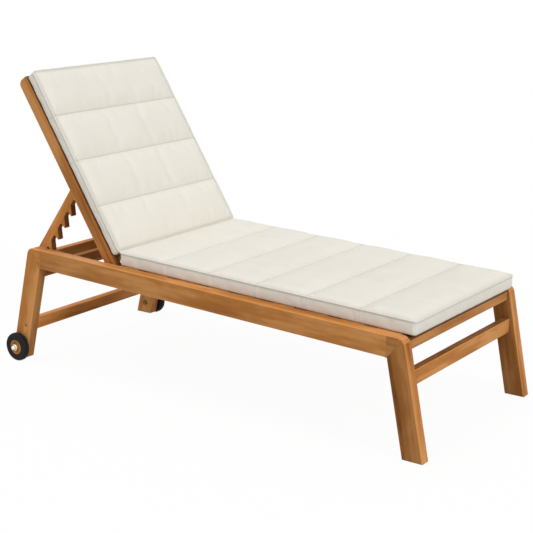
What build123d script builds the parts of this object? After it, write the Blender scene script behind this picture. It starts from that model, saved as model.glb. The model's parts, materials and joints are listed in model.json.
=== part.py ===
from build123d import *
from math import asin, atan2, cos, degrees, hypot, radians, sin, sqrt, tan
import os

# Wooden sun lounger with a reclining back, two notched props, two wheels and two cushions.
# Lengths are in millimetres and angles in degrees.
# +X runs from the head end to the foot end, +Y to the user's left, +Z up, with the floor at zero.
# Pieces are drawn square to the side rails, from the head corner, and stood on the floor at the end.

# Seat frame
rail_height = 317.0
frame_slope = 2.2
frame_width = 760.0
frame_run = 1516.0
rail_depth = 72.0
rail_thickness = 40.0
edge_easing = 2.0
saw_overrun = 5.0

# Legs and corner blocks
leg_stock = 72.0
leg_lean = 12.8
leg_top_radius = 16.0
corner_block_land = 4.0
head_leg_lift = 10.0

# Cross members, each with its thickness along X and its depth along Z
foot_end_rail_thickness = 28.0
foot_end_rail_depth = 41.0
foot_end_rail_drop = 8.0
foot_end_rail_setback = 3.0
foot_stretcher_thickness = 28.0
foot_stretcher_depth = 52.0
foot_stretcher_drop = 41.0
foot_stretcher_setback = 13.0
head_end_rail_thickness = 28.0
head_end_rail_depth = 92.0
head_end_rail_drop = 22.8
head_end_rail_setback = 12.0
head_stretcher_thickness = 28.0
head_stretcher_depth = 45.0
head_stretcher_drop = 219.0
head_stretcher_setback = 12.0
rest_rail_thickness = 25.0
rest_rail_depth = 36.0
rest_rail_drop = 32.0
rest_rail_reach = 82.0
tenon_length = 13.0
tenon_cheek = 8.0
tenon_haunch = 9.0
glue_gap = 0.1

# Loose tenon through each leg corner
loose_tenon_thickness = 10.0
loose_tenon_depth = 36.0
loose_tenon_edge = 14.0
loose_tenon_bite = 32.0
loose_tenon_reach = 49.0

# Screws and plugs that hold the head stretcher
plug_diameter = 14.0
plug_length = 8.0
stretcher_screw_diameter = 6.0
stretcher_screw_head_length = 4.0
stretcher_screw_length = 62.0

# Seat slats and the battens that carry them
seat_start = 375.0
slat_count = 9
slat_width = 84.0
slat_thickness = 15.0
slat_end_gap = 0.5
slat_foot_gap = 2.0
bearer_width = 25.0
bearer_depth = 36.0
slat_housing_depth = 14.0

# Backrest frame
recline_angle = 55.5
pivot_run = 342.0
pivot_drop = 30.0
stile_depth = 50.0
stile_thickness = 28.0
stile_length = 792.0
stile_gap = 4.0
stile_back_radius = 24.0
stile_front_radius = 4.0
back_rail_width = 40.0
back_rail_depth = 36.0
bottom_rail_start = 34.0
back_slat_count = 6
back_slat_width = 74.0
back_slat_thickness = 14.0
back_slat_housing = 8.0
back_mortise_gap = 0.1

# Recline pivots: shoulder bolt, blind insert in the side rail, bush in the stile, washer
running_clearance = 0.05
side_play = 0.3
recline_bolt_diameter = 10.0
recline_head_across = 17.0
recline_head_thickness = 5.0
recline_insert_diameter = 16.0
recline_insert_length = 24.0
recline_bush_diameter = 14.0
recline_washer_diameter = 24.0
bolt_tip_gap = 2.0

# Notched props and their pivots
prop_pivot_reach = 353.0
prop_pivot_setback = 7.0
prop_thickness = 24.0
prop_gap = 2.0
prop_head_radius = 17.0
prop_floor = 16.0
prop_tip = 43.0
prop_pitch = 62.3
prop_ramp_run = 34.0
prop_undercut = 2.6
prop_tip_land = 4.0
prop_notch_radius = 6.0
prop_ramp_radius = 14.0
prop_tail = 22.0
prop_tail_radius = 14.0
prop_notch_count = 5
hook_reach = 5.4
hook_play = 1.7
prop_bolt_diameter = 8.0
prop_head_across = 15.0
prop_head_thickness = 4.5
prop_insert_diameter = 12.0
prop_insert_length = 20.0
prop_washer_diameter = 20.0

# Wheels and axles
wheel_diameter = 110.0
tyre_width = 30.0
hub_diameter = 62.0
hub_width = 24.0
bush_diameter = 16.0
axle_diameter = 10.0
axle_washer_diameter = 22.0
axle_washer_thickness = 2.0
axle_head_across = 17.0
axle_head_thickness = 6.5
cap_nut_across = 17.0
cap_nut_collar = 6.0
cap_nut_dome_radius = 7.5
cap_nut_dome_height = 6.5
thread_gap = 0.05

# Cushions
cushion_crown = 9.0
seam_sink = 8.5
side_swell = 3.5
side_waist = 5.0
cushion_corner_radius = 9.0
cushion_lift = 0.3
seat_cushion_height = 48.0
seat_cushion_start = 370.0
seat_cushion_overhang = 16.0
seat_cushion_margin = 2.0
seat_channels = 6
back_cushion_height = 42.0
back_cushion_start = 50.0
back_cushion_setback = 4.0
back_cushion_overlap = 2.0
back_channels = 4

# Places worked out from the sizes above
frame_top = rail_height + rail_depth
half_width = frame_width / 2
inner_y = half_width - rail_thickness
rail_y = half_width - rail_thickness / 2
lean = tan(radians(leg_lean))
leg_width = leg_stock / cos(radians(leg_lean))
leg_top_run = leg_width - rail_depth * lean
wheel_radius = wheel_diameter / 2
toe_x = frame_run + leg_width + rail_height * lean
floor_rise = tan(radians(frame_slope))


def leg_drop(top_x, outward, clearance):
    """How far a leg's line falls below the rail before it is this far above the floor."""
    lift = clearance / cos(radians(frame_slope))
    return (rail_height - lift - (top_x - toe_x) * floor_rise) / (1 + outward * lean * floor_rise)


axle_drop = leg_drop(-leg_width / 2, -1, wheel_radius)
axle_x = -leg_width / 2 - axle_drop * lean
axle_z = rail_height - axle_drop
stand_turn = Rot(0, frame_slope, 0)
stood_axle = (stand_turn * Pos(axle_x, 0, axle_z)).position
stood_toe = (stand_turn * Pos(toe_x, 0, 0)).position
stand = Pos((wheel_radius - stood_axle.X - stood_toe.X) / 2, 0, -stood_toe.Z) * stand_turn

pivot_x = pivot_run
pivot_z = frame_top - pivot_drop
stile_outer = inner_y - stile_gap
stile_inner = stile_outer - stile_thickness
stile_y = (stile_outer + stile_inner) / 2
recline_sin = sin(radians(recline_angle))
recline_cos = cos(radians(recline_angle))
backrest_frame = Plane(
    origin=(pivot_x, 0, pivot_z),
    x_dir=(-recline_cos, 0, recline_sin),
    z_dir=(recline_sin, 0, recline_cos),
)

prop_pivot_x = pivot_x - prop_pivot_reach * recline_cos - prop_pivot_setback * recline_sin
prop_pivot_z = pivot_z + prop_pivot_reach * recline_sin - prop_pivot_setback * recline_cos
end_rail_front = -head_end_rail_setback
end_rail_top = frame_top - head_end_rail_drop
hook_dx = end_rail_front + hook_reach - prop_pivot_x
hook_dz = end_rail_top + hook_play - prop_pivot_z
last_hook_reach = sqrt(hypot(hook_dx, hook_dz) ** 2 - prop_tip ** 2)
prop_angle = degrees(atan2(-hook_dz, -hook_dx) - atan2(prop_tip, last_hook_reach))
first_tip = last_hook_reach - (prop_notch_count - 1) * prop_pitch
prop_length = first_tip + prop_notch_count * prop_pitch + prop_tail
prop_frame = Plane(
    origin=(prop_pivot_x, 0, prop_pivot_z),
    x_dir=(-cos(radians(prop_angle)), 0, -sin(radians(prop_angle))),
    z_dir=(sin(radians(prop_angle)), 0, -cos(radians(prop_angle))),
)

# The back lies flat when the stiles' back edge meets the front corner of the head end rail.
rest_dx = pivot_x - end_rail_front
rest_dz = end_rail_top - pivot_z
flat_angle = degrees(
    asin((stile_depth / 2 + side_play) / hypot(rest_dx, rest_dz)) + atan2(rest_dz, rest_dx)
)
recline_travel = recline_angle - flat_angle


def block(x_range, y_range, z_range):
    """A box between the given limits along X, Y and Z."""
    sizes = [high - low for low, high in (x_range, y_range, z_range)]
    middle = [(high + low) / 2 for low, high in (x_range, y_range, z_range)]
    return Pos(*middle) * Box(*sizes)


def eased(solid, axis):
    """The board with its long edges along the axis taken off."""
    return chamfer(solid.edges().filter_by(axis), edge_easing)


def side_slab(points, thickness):
    """A closed outline of X and Z points, thickened equally both ways along Y."""
    return extrude(Plane.XZ * make_face(Polyline(*points, close=True)), thickness / 2, both=True)


def y_pin(radius, near, far, x=0, z=0):
    """A round pin along Y from near to far."""
    middle = (near + far) / 2
    return Pos(x, middle, z) * Rot(90, 0, 0) * Cylinder(radius, abs(far - near))


def x_pin(radius, start, end, y, z):
    """A round pin along X from start to end."""
    return Pos((start + end) / 2, y, z) * Rot(0, 90, 0) * Cylinder(radius, abs(end - start))


def mirrored(solid):
    """The same piece on the other side of the lounger."""
    return mirror(solid, about=Plane.XZ)


def single(shape):
    """The one solid that a boolean result holds."""
    return shape.solids()[0]


def leg_corner(corner_x, outward, lift):
    """A splayed leg and the wedge block mitred to it, on the right side of the frame."""
    inner_drop = leg_drop(corner_x, outward, lift)
    outer_drop = leg_drop(corner_x + outward * leg_width, outward, lift)
    corner = [
        (-corner_block_land, rail_height),
        (0, rail_height),
        (inner_drop * lean, rail_height - inner_drop),
        (leg_width + outer_drop * lean, rail_height - outer_drop),
        (leg_top_run, frame_top),
        (-corner_block_land, frame_top),
    ]
    placed = [(corner_x + outward * run, height) for run, height in corner]
    whole = side_slab(placed, rail_thickness)
    top_edge = whole.edges().filter_by(Axis.Y).sort_by_distance((placed[4][0], 0, frame_top))[0]
    whole = fillet(top_edge, leg_top_radius)
    seam_x = placed[0][0]
    faces = whole.faces().filter_by(Axis.Y)
    rim = [edge for face in faces for edge in face.edges() if abs(edge.center().X - seam_x) > edge_easing]
    whole = chamfer(rim, edge_easing)
    inner_corner = placed[1]
    outer_corner = placed[4]
    above = (outer_corner[0], frame_top + saw_overrun)
    past_seam = seam_x - outward * saw_overrun
    wedge = [
        (past_seam, rail_height - saw_overrun),
        (inner_corner[0], rail_height - saw_overrun),
        inner_corner,
        outer_corner,
        above,
        (past_seam, above[1]),
    ]
    cutter = side_slab(wedge, rail_thickness + saw_overrun)
    move = Pos(0, -rail_y, 0)
    return move * single(whole - cutter), move * single(whole & cutter)


def cross_member(front_x, thickness, bottom, depth):
    """A cross rail between the side frames, with a tenon at each end and the mortise it needs."""
    x_range = (front_x - thickness, front_x)
    z_range = (bottom, bottom + depth)
    board = eased(block(x_range, (-inner_y, inner_y), z_range), Axis.Y)
    tenon_x = (x_range[0] + tenon_cheek, x_range[1] - tenon_cheek)
    tenon_z = (z_range[0] + tenon_haunch, z_range[1] - tenon_haunch)
    tenon_y = inner_y + tenon_length
    board = single(board + block(tenon_x, (-tenon_y, tenon_y), tenon_z))
    slot_x = (tenon_x[0] - glue_gap, tenon_x[1] + glue_gap)
    slot_z = (tenon_z[0] - glue_gap, tenon_z[1] + glue_gap)
    slot_y = tenon_y + glue_gap
    return board, block(slot_x, (-slot_y, slot_y), slot_z)


def hex_bolt(diameter, head_across, head_thickness, head_face, tip, x=0, z=0):
    """A hexagon-head bolt along Y whose head starts at head_face and whose tip is further out."""
    sketch = Plane.XZ * Pos(x, z) * RegularPolygon(head_across / sqrt(3), 6)
    head = Pos(0, head_face, 0) * extrude(sketch, -head_thickness)
    return head + y_pin(diameter / 2, head_face, tip, x, z)


def ring(outer, inner, near, far, x=0, z=0):
    """A flat ring or bush along Y."""
    return y_pin(outer / 2, near, far, x, z) - y_pin(inner / 2, near - saw_overrun, far + saw_overrun, x, z)


def frame_pieces():
    """The fixed timber frame, its loose tenons, the head stretcher's screws and its plugs."""
    rail = block(
        (corner_block_land, frame_run - corner_block_land),
        (-half_width, -inner_y),
        (rail_height, frame_top),
    )
    rail = eased(rail, Axis.X)
    foot_leg, foot_block = leg_corner(frame_run, 1, 0)
    head_leg, head_block = leg_corner(0, -1, head_leg_lift)

    foot_end_rail, foot_end_slot = cross_member(
        frame_run + leg_top_run - foot_end_rail_setback,
        foot_end_rail_thickness,
        frame_top - foot_end_rail_drop - foot_end_rail_depth,
        foot_end_rail_depth,
    )
    foot_stretcher, foot_slot = cross_member(
        frame_run + foot_stretcher_drop * lean + leg_width - foot_stretcher_setback,
        foot_stretcher_thickness,
        rail_height - foot_stretcher_drop - foot_stretcher_depth,
        foot_stretcher_depth,
    )
    head_end_rail, head_end_slot = cross_member(
        end_rail_front,
        head_end_rail_thickness,
        end_rail_top - head_end_rail_depth,
        head_end_rail_depth,
    )
    stretcher_middle = head_stretcher_drop + head_stretcher_depth / 2
    head_stretcher_front = -stretcher_middle * lean - head_stretcher_setback
    head_stretcher, head_slot = cross_member(
        head_stretcher_front,
        head_stretcher_thickness,
        rail_height - head_stretcher_drop - head_stretcher_depth,
        head_stretcher_depth,
    )
    rest_rail, rest_slot = cross_member(
        rest_rail_reach,
        rest_rail_thickness,
        frame_top - rest_rail_drop - rest_rail_depth,
        rest_rail_depth,
    )

    loose_tenons = []
    half_tenon = loose_tenon_thickness / 2
    tenon_z = (rail_height + loose_tenon_edge, rail_height + loose_tenon_edge + loose_tenon_depth)
    for corner_x, outward in ((0, -1), (frame_run, 1)):
        start = corner_x - outward * (corner_block_land + loose_tenon_bite)
        end = corner_x + outward * loose_tenon_reach
        reach = (min(start, end), max(start, end))
        loose_tenons.append(block(reach, (-rail_y - half_tenon, -rail_y + half_tenon), tenon_z))

    screw_x = head_stretcher_front - head_stretcher_thickness / 2
    screw_z = rail_height - stretcher_middle
    screw_top = plug_length - half_width
    plug = y_pin(plug_diameter / 2, -half_width, screw_top, screw_x, screw_z)
    neck = screw_top + stretcher_screw_head_length
    screw = y_pin(plug_diameter / 2, screw_top, neck, screw_x, screw_z)
    screw_end = screw_top + stretcher_screw_length
    screw += y_pin(stretcher_screw_diameter / 2, neck, screw_end, screw_x, screw_z)
    axle_hole = y_pin(
        axle_diameter / 2 + thread_gap,
        -half_width - saw_overrun,
        -inner_y + saw_overrun,
        axle_x,
        axle_z,
    )
    insert_hole = y_pin(
        recline_insert_diameter / 2,
        -inner_y - recline_insert_length,
        -inner_y + saw_overrun,
        pivot_x,
        pivot_z,
    )

    rail = single(rail - rest_slot - loose_tenons - insert_hole)
    foot_leg = single(foot_leg - foot_end_slot - foot_slot - loose_tenons)
    foot_block = single(foot_block - foot_end_slot - loose_tenons)
    head_leg = single(head_leg - head_end_slot - head_slot - loose_tenons - plug - screw - axle_hole)
    head_block = single(head_block - head_end_slot - loose_tenons)
    head_stretcher = single(head_stretcher - screw - mirrored(screw))

    pieces = {}
    for name, solid in (
        ("side_rail", rail),
        ("foot_leg", foot_leg),
        ("foot_corner_block", foot_block),
        ("head_leg", head_leg),
        ("head_corner_block", head_block),
    ):
        pieces[name + "_right"] = solid
        pieces[name + "_left"] = mirrored(solid)
    pieces["foot_end_rail"] = foot_end_rail
    pieces["foot_stretcher"] = foot_stretcher
    pieces["head_end_rail"] = head_end_rail
    pieces["head_stretcher"] = head_stretcher
    pieces["rest_rail"] = rest_rail
    pieces["corner_tenons"] = both_sides(loose_tenons)
    pieces["stretcher_screws"] = both_sides([screw])
    pieces["stretcher_plugs"] = both_sides([plug])
    return pieces


def both_sides(solids):
    """A group of the given right-hand pieces and their left-hand twins."""
    return Compound([single(copy) for solid in solids for copy in (solid, mirrored(solid))])


def seat_pieces():
    """The slat battens and the seat slats that are let into them."""
    slat_end = frame_run + leg_top_run - foot_end_rail_setback - foot_end_rail_thickness - slat_foot_gap
    slat_bottom = frame_top - slat_thickness
    bearer_top = slat_bottom + slat_housing_depth
    bearer = block(
        (seat_start - slat_foot_gap, slat_end),
        (-inner_y, -inner_y + bearer_width),
        (bearer_top - bearer_depth, bearer_top),
    )
    pitch = (slat_end - slat_foot_gap - seat_start - slat_width) / (slat_count - 1)
    slat_reach = inner_y - slat_end_gap
    pieces = {}
    for number in range(slat_count):
        start = seat_start + number * pitch
        x_range = (start, start + slat_width)
        slat = block(x_range, (-slat_reach, slat_reach), (slat_bottom, frame_top))
        pieces["seat_slat_%d" % (number + 1)] = eased(slat, Axis.Y)
        bearer -= block(x_range, (-inner_y, -inner_y + bearer_width), (slat_bottom, frame_top))
    bearer = single(bearer)
    pieces["slat_bearer_right"] = bearer
    pieces["slat_bearer_left"] = mirrored(bearer)
    return pieces


def backrest_pieces():
    """The reclining back in its own frame: X up the back from the pivot, Z out towards the sitter."""
    stile_sketch = Pos(stile_length / 2, 0) * Rectangle(stile_length, stile_depth) + Circle(stile_depth / 2)
    corners = stile_sketch.vertices().group_by(Axis.X)[-1].sort_by(Axis.Y)
    stile_sketch = fillet(corners[0], stile_back_radius)
    corners = stile_sketch.vertices().group_by(Axis.X)[-1].sort_by(Axis.Y)
    stile_sketch = fillet(corners[-1], stile_front_radius)
    board = block(
        (-stile_depth, stile_length + stile_depth),
        (-stile_thickness / 2, stile_thickness / 2),
        (-stile_depth / 2, stile_depth / 2),
    )
    stile = eased(board, Axis.X) & extrude(Plane.XZ * stile_sketch, stile_thickness, both=True)
    stile = Pos(0, stile_y, 0) * single(stile)

    front = stile_depth / 2
    rail_z = (front - back_rail_depth, front)
    slots = []
    pieces = {}
    top_start = stile_length - back_rail_width
    for name, start in (("backrest_bottom_rail", bottom_rail_start), ("backrest_top_rail", top_start)):
        rail = eased(
            block((start, start + back_rail_width), (-stile_inner, stile_inner), rail_z), Axis.Y
        )
        tenon_x = (start + tenon_haunch, start + back_rail_width - tenon_haunch)
        tenon_z = (rail_z[0] + tenon_haunch, rail_z[1] - tenon_haunch)
        tenon_y = stile_inner + tenon_length
        pieces[name] = single(rail + block(tenon_x, (-tenon_y, tenon_y), tenon_z))
        slots.append(
            block(
                (tenon_x[0] - back_mortise_gap, tenon_x[1] + back_mortise_gap),
                (-tenon_y - back_mortise_gap, tenon_y + back_mortise_gap),
                (tenon_z[0] - back_mortise_gap, tenon_z[1] + back_mortise_gap),
            )
        )

    field_start = bottom_rail_start + back_rail_width
    gap = (top_start - field_start - back_slat_count * back_slat_width) / (back_slat_count + 1)
    slat_reach = stile_inner + back_slat_housing
    for number in range(back_slat_count):
        start = field_start + gap + number * (back_slat_width + gap)
        slat_z = (front - back_slat_thickness - back_mortise_gap, front - back_mortise_gap)
        slat = block((start, start + back_slat_width), (-slat_reach, slat_reach), slat_z)
        pieces["back_slat_%d" % (number + 1)] = eased(slat, Axis.Y)
        slots.append(
            block(
                (start - back_mortise_gap, start + back_slat_width + back_mortise_gap),
                (-slat_reach - back_mortise_gap, slat_reach + back_mortise_gap),
                (slat_z[0] - back_mortise_gap, front + saw_overrun),
            )
        )

    bush_hole = y_pin(
        recline_bush_diameter / 2, stile_inner - saw_overrun, stile_outer + saw_overrun
    )
    prop_x = prop_pivot_reach
    prop_z = -prop_pivot_setback
    insert_end = stile_inner + prop_insert_length
    insert_hole = y_pin(prop_insert_diameter / 2, stile_inner - saw_overrun, insert_end, prop_x, prop_z)
    stile = single(stile - slots - bush_hole - insert_hole)
    pieces["backrest_stile_right"] = stile
    pieces["backrest_stile_left"] = mirrored(stile)

    bush = ring(
        recline_bush_diameter,
        recline_bolt_diameter + 2 * running_clearance,
        stile_inner,
        stile_outer,
    )
    pieces["recline_bushes"] = both_sides([bush])
    insert = ring(
        prop_insert_diameter,
        prop_bolt_diameter + 2 * thread_gap,
        stile_inner,
        insert_end,
        prop_x,
        prop_z,
    )
    pieces["prop_inserts"] = both_sides([insert])
    washer = ring(
        prop_washer_diameter,
        prop_bolt_diameter + 2 * thread_gap,
        stile_inner - prop_gap + side_play,
        stile_inner,
        prop_x,
        prop_z,
    )
    pieces["prop_washers"] = both_sides([washer])
    head_face = stile_inner - prop_gap - prop_thickness - side_play - prop_head_thickness
    bolt = hex_bolt(
        prop_bolt_diameter,
        prop_head_across,
        prop_head_thickness,
        head_face,
        insert_end - bolt_tip_gap,
        prop_x,
        prop_z,
    )
    pieces["prop_bolts"] = both_sides([bolt])

    cushion_length = stile_length - back_cushion_setback - back_cushion_start
    cushion_width = 2 * (stile_outer + back_cushion_overlap)
    cushion = cushion_form(cushion_length, cushion_width, back_cushion_height, back_channels)
    pieces["back_cushion"] = Pos(back_cushion_start, 0, front + cushion_lift) * cushion
    return {name: backrest_frame.location * shape for name, shape in pieces.items()}


def prop_pieces():
    """The two notched props, each drawn along its own length with the teeth on its +Z side."""
    points = [(0, -prop_head_radius), (prop_length, -prop_head_radius), (prop_length, prop_floor)]
    notch_corners = []
    ramp_corners = []
    for number in reversed(range(prop_notch_count + 1)):
        tip = first_tip + number * prop_pitch
        apex = (tip - prop_undercut, prop_floor)
        hook = [(tip, prop_tip), (tip - prop_tip_land, prop_tip)]
        ramp = (tip - prop_ramp_run, prop_floor)
        if number < prop_notch_count:
            points.append(apex)
            notch_corners.append(apex)
        points += hook + [ramp]
        ramp_corners.append(ramp)
    points.append((0, prop_floor))
    sketch = make_face(Polyline(*points, close=True)) + Circle(prop_head_radius)
    rounding = (
        (notch_corners, prop_notch_radius),
        (ramp_corners, prop_ramp_radius),
        ([(prop_length, -prop_head_radius)], prop_tail_radius),
    )
    for corners, radius in rounding:
        chosen = [sketch.vertices().sort_by_distance((x, z, 0))[0] for x, z in corners]
        sketch = fillet(chosen, radius)
    prop = extrude(Plane.XZ * sketch, prop_thickness / 2, both=True)
    bore = y_pin(prop_bolt_diameter / 2 + running_clearance, -prop_thickness, prop_thickness)
    prop_y = stile_inner - prop_gap - prop_thickness / 2
    prop = prop_frame.location * single(prop - bore)
    right = Pos(0, -prop_y, 0) * prop
    return {"prop_right": right, "prop_left": mirrored(right)}


def recline_hardware():
    """The shoulder bolts, blind inserts and washers on which the backrest turns."""
    insert_end = -inner_y - recline_insert_length
    insert = ring(
        recline_insert_diameter,
        recline_bolt_diameter + 2 * thread_gap,
        insert_end,
        -inner_y,
        pivot_x,
        pivot_z,
    )
    washer = ring(
        recline_washer_diameter,
        recline_bolt_diameter + 2 * thread_gap,
        -inner_y,
        -stile_outer - side_play,
        pivot_x,
        pivot_z,
    )
    head_face = -stile_inner + side_play + recline_head_thickness
    bolt = hex_bolt(
        recline_bolt_diameter,
        recline_head_across,
        -recline_head_thickness,
        head_face,
        insert_end + bolt_tip_gap,
        pivot_x,
        pivot_z,
    )
    return {
        "recline_inserts": both_sides([insert]),
        "recline_washers": both_sides([washer]),
        "recline_bolts": both_sides([bolt]),
    }


def wheel_pieces():
    """Tyres, wooden hubs and bushes, and the axle bolts, washers and cap nuts that hold them."""
    hub_radius = hub_diameter / 2
    inner_face = half_width + axle_washer_thickness + side_play
    tyre_middle = inner_face + tyre_width / 2
    tyre = Cylinder(wheel_radius, tyre_width) - Cylinder(hub_radius, tyre_width)
    hub = Cylinder(hub_radius, hub_width) - Cylinder(bush_diameter / 2, hub_width)
    bush = Cylinder(bush_diameter / 2, tyre_width) - Cylinder(
        axle_diameter / 2 + running_clearance, tyre_width + saw_overrun
    )
    place = Pos(axle_x, -tyre_middle, axle_z) * Rot(90, 0, 0)

    outer_face = inner_face + tyre_width + side_play
    nut_face = outer_face + axle_washer_thickness
    washer_end = half_width + axle_washer_thickness
    washer_bore = axle_diameter + 2 * thread_gap
    washer = ring(axle_washer_diameter, washer_bore, -washer_end, -half_width, axle_x, axle_z)
    bolt_end = nut_face + cap_nut_collar
    head_sketch = Plane.XZ * Pos(axle_x, axle_z) * RegularPolygon(axle_head_across / sqrt(3), 6)
    bolt = Pos(0, -inner_y, 0) * extrude(head_sketch, -axle_head_thickness)
    bolt += y_pin(axle_diameter / 2, -bolt_end, -inner_y, axle_x, axle_z)
    nut_sketch = Plane.XZ * Pos(axle_x, axle_z) * RegularPolygon(cap_nut_across / sqrt(3), 6)
    nut = Pos(0, -nut_face, 0) * extrude(nut_sketch, cap_nut_collar)
    nut += y_pin(axle_washer_diameter / 2, -nut_face, -outer_face, axle_x, axle_z)
    nut += y_pin(
        cap_nut_dome_radius, -nut_face - cap_nut_collar - cap_nut_dome_height, -nut_face, axle_x, axle_z
    )
    nut -= y_pin(
        axle_diameter / 2 + thread_gap,
        -bolt_end - thread_gap,
        -nut_face + saw_overrun,
        axle_x,
        axle_z,
    )
    pieces = {
        "axle_bolts": both_sides([bolt]),
        "axle_washers": both_sides([washer]),
        "cap_nuts": both_sides([single(nut)]),
    }
    for name, shape in (("tyre", tyre), ("wheel_hub", hub), ("wheel_bush", bush)):
        right = place * single(shape)
        pieces[name + "_right"] = right
        pieces[name + "_left"] = mirrored(right)
    return pieces


def cushion_form(length, width, edge, channels):
    """A boxed cushion from X zero, flat below, with a crown, sewn channels and drawn-in sides."""
    half = width / 2
    crest = edge + cushion_crown
    seam_height = crest - seam_sink
    pitch = length / channels

    heights = [edge] + [seam_height] * (channels - 1) + [edge]
    lines = [Line((0, 0), (length, 0))]
    lines.append(ThreePointArc((length, 0), (length + side_swell, edge / 2), (length, edge)))
    for number in reversed(range(channels)):
        right = (number + 1) * pitch
        left = number * pitch
        lines.append(
            ThreePointArc((right, heights[number + 1]), ((left + right) / 2, crest), (left, heights[number]))
        )
    lines.append(ThreePointArc((0, edge), (-side_swell, edge / 2), (0, 0)))
    lengthwise = extrude(Plane.XZ * make_face(lines), half + saw_overrun, both=True)

    across = make_face(
        [
            Line((-half, 0), (half, 0)),
            ThreePointArc((half, 0), (half + side_swell, edge / 2), (half, edge)),
            ThreePointArc((half, edge), (0, crest), (-half, edge)),
            ThreePointArc((-half, edge), (-half - side_swell, edge / 2), (-half, 0)),
        ]
    )
    crosswise = extrude(Plane.YZ * across, length + saw_overrun)
    crosswise += extrude(Plane.YZ * across, -saw_overrun)

    reach = half + side_swell
    start = -side_swell
    end = length + side_swell
    middle = length / 2
    plan = make_face(
        [
            ThreePointArc((start, -reach), (middle, side_waist - reach), (end, -reach)),
            ThreePointArc((end, -reach), (end - side_waist, 0), (end, reach)),
            ThreePointArc((end, reach), (middle, reach - side_waist), (start, reach)),
            ThreePointArc((start, reach), (start + side_waist, 0), (start, -reach)),
        ]
    )
    plan = fillet(plan.vertices(), cushion_corner_radius)
    outline = extrude(plan, crest + saw_overrun)
    return single(lengthwise & crosswise & outline)


def seat_cushion():
    """The long seat cushion, lying on the slats."""
    length = frame_run + leg_top_run + seat_cushion_overhang - seat_cushion_start
    width = 2 * (inner_y - seat_cushion_margin)
    form = cushion_form(length, width, seat_cushion_height, seat_channels)
    return {"seat_cushion": Pos(seat_cushion_start, 0, frame_top + cushion_lift) * form}


def main():
    """Builds every piece and writes one STEP file for each node."""
    os.makedirs("parts", exist_ok=True)
    pieces = {}
    for group in (
        frame_pieces(),
        seat_pieces(),
        backrest_pieces(),
        prop_pieces(),
        recline_hardware(),
        wheel_pieces(),
        seat_cushion(),
    ):
        pieces.update(group)
    for name, shape in pieces.items():
        export_step(stand * shape, "parts/%s.step" % name)
    print("pieces", len(pieces))
    for name, x, z in (
        ("recline pivot", pivot_x, pivot_z),
        ("prop pivot", prop_pivot_x, prop_pivot_z),
        ("wheel axle", axle_x, axle_z),
        ("foot leg toe", toe_x, 0),
    ):
        point = (stand * Pos(x, 0, z)).position
        print(name, round(point.X, 3), round(point.Z, 3))
    print("prop angle", round(prop_angle + frame_slope, 3), "first tip", round(first_tip, 3))
    print("recline travel", round(recline_travel, 3), "prop swing", round(recline_angle + prop_angle, 3))


main()
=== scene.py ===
"""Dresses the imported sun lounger: oiled timber, channelled cushions, wheels, hardware and a plain studio."""

import json
import logging
import math
from dataclasses import dataclass, field
from enum import Enum

import bmesh
import bpy
import numpy as np
from mathutils import Matrix, Vector

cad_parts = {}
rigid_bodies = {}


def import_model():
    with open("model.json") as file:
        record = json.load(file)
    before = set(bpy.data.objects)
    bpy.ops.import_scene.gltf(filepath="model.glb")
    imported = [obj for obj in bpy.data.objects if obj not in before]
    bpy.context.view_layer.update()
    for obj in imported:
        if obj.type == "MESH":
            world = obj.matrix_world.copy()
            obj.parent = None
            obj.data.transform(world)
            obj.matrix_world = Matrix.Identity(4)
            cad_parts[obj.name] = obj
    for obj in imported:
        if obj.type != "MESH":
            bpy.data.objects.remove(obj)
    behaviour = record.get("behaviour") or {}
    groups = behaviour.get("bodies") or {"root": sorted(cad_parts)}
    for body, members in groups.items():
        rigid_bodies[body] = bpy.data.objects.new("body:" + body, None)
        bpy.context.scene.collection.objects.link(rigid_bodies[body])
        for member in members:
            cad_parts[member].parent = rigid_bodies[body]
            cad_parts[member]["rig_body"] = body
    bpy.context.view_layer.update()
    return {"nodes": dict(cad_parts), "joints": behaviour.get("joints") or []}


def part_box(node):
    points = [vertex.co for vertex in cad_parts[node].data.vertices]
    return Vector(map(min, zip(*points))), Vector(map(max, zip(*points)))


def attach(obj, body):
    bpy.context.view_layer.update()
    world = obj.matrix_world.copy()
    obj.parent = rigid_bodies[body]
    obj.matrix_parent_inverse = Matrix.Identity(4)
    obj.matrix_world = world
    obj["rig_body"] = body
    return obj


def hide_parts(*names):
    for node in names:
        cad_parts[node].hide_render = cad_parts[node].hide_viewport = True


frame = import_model()
LOG = logging.getLogger("lounger")

# A colour, a place, a turn or a stretch
Triple = tuple[float, float, float]
Socket = bpy.types.NodeSocket
Node = bpy.types.Node
Tree = bpy.types.NodeTree
Material = bpy.types.Material
Mesh = bpy.types.Mesh
Piece = bpy.types.Object
Shape = bmesh.types.BMesh

# Angles and lengths of the solids, in radians and metres
SLOPE = math.radians(2.2)
RECLINE = math.radians(55.5)
PIVOT_IN_RAIL = Vector((0.342, 0.0, 0.359))
LEG_LEAN = math.radians(12.8)
NOTCH_ANGLE = math.radians(52.7)
NOTCH_START = 0.02
NOTCH_FLOOR = 0.0157
FRAME_RUN = 1.516
FRAME_TOP = 0.389
CORNER_RUN = 0.05748
RAIL_MIDDLE = 0.36
RAIL_HALF = 0.02
SEAT_START = (0.37, 0.0, FRAME_TOP)
BACK_START = (0.05, 0.0, 0.025)
CUSHION_WIDTH = 0.676

# How near two points or angles count as one
SAME_PLACE = 1e-6
MERGE = 2e-6
FOLD_MERGE = 2e-5
SAME_ANGLE = 1e-4

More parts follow.
